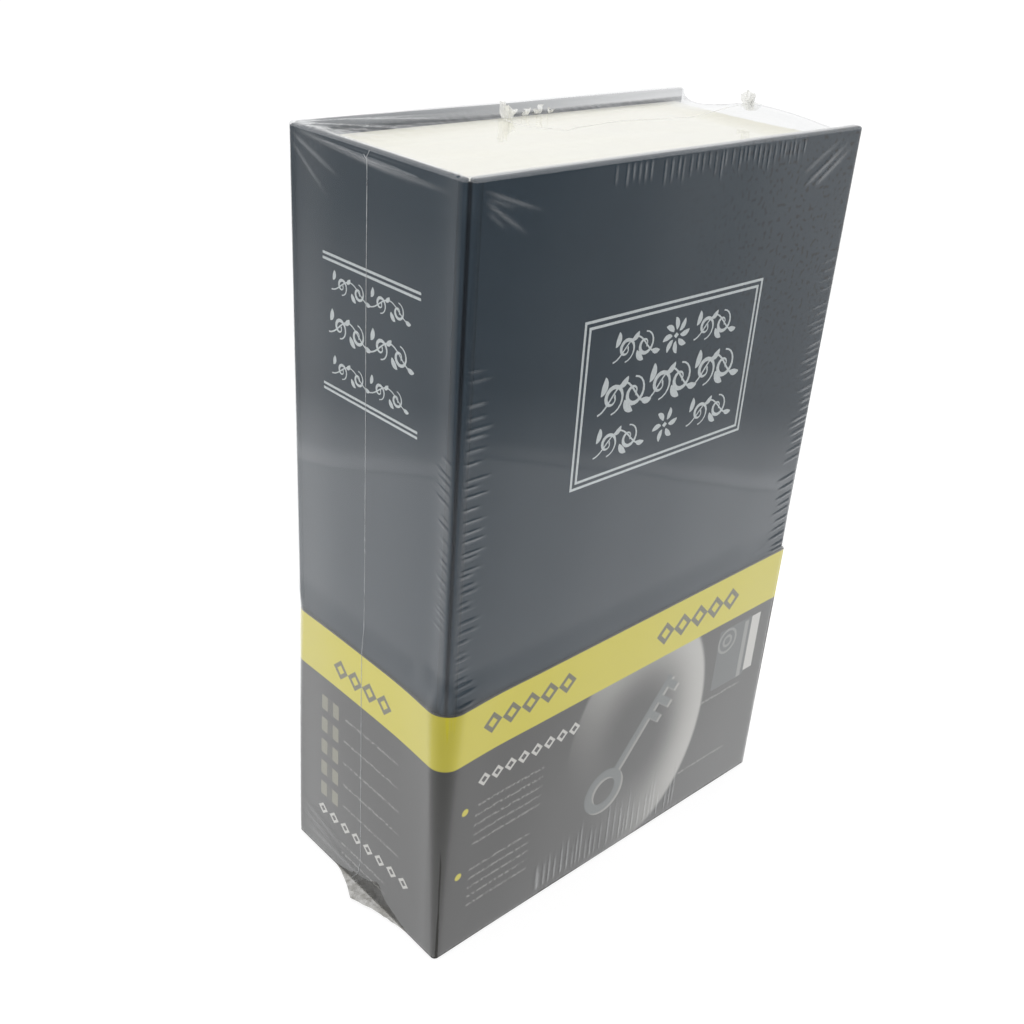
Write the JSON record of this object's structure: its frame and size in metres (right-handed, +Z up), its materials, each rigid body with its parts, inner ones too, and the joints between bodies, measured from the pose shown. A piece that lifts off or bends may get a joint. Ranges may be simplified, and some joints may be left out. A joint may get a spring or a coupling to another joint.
{
  "type": "book diversion safe",
  "caption": "Hard-cover book whose page block hides a lockable steel cash box, with a card sleeve and clear film.",
  "frame": {"origin": "middle of the book's footprint, on the surface that it stands on", "axes": "+Z up, from the tail to the head; +X from the spine to the fore-edge; +Y from the front cover to the back cover"},
  "size_m": [0.1164, 0.0564, 0.18],
  "materials": {
    "bookcloth": "dark blue-grey coated bookcloth, satin",
    "endpaper": "dark blue-grey paper, matt",
    "page_plastic": "cream, with fine page-like lines",
    "sleeve_card": "grey and yellow printed card, satin varnish",
    "box_steel": "black powder coat, fine texture",
    "bare_steel": "zinc-plated steel",
    "nickel": "nickel plate, polished",
    "clear_film": "clear shrink film"
  },
  "bodies": {
    "case": {"spine_board": "bookcloth", "back_board": "bookcloth", "front_joint": "bookcloth", "back_joint": "bookcloth", "back_pastedown": "endpaper", "page_block": "page_plastic", "cash_tray": "box_steel", "hinge_pin": "bare_steel", "strike": "bare_steel", "strike_rivet_1": "bare_steel", "strike_rivet_2": "bare_steel", "tray_screw_1": "bare_steel", "tray_screw_2": "bare_steel", "tray_screw_3": "bare_steel", "tray_screw_4": "bare_steel", "key_1": "nickel", "key_2": "nickel", "sleeve_fold": "sleeve_card", "sleeve_body": "sleeve_card", "shrink_film": "clear_film"},
    "cover": {"front_board": "bookcloth", "front_pastedown": "endpaper", "sleeve_front": "sleeve_card"},
    "lid": {"cash_lid": "box_steel", "lock_body": "nickel", "lock_nut": "bare_steel"},
    "lock": {"lock_plug": "nickel", "lock_cam": "bare_steel", "cam_screw": "bare_steel"}
  },
  "joints": [
    {"name": "cover_hinge", "type": "hinge", "parent": "case", "child": "cover", "pos_m": [-0.0567, -0.0267, 0.09], "axis": [0, 0, -1], "range_deg": [0, 179.5], "deforming": ["front_joint", "sleeve_fold"]},
    {"name": "lid_hinge", "type": "hinge", "parent": "case", "child": "lid", "pos_m": [-0.0437, -0.0197, 0.09], "axis": [0, 0, -1], "range_deg": [0, 99]},
    {"name": "lock_turn", "type": "hinge", "parent": "lid", "child": "lock", "pos_m": [0.0219, -0.022, 0.09], "axis": [0, 1, 0], "range_deg": [0, 90]}
  ],
  "couplings": [
    {"joint": "lid_hinge", "follows": "cover_hinge", "ratio": 0.55}
  ]
}
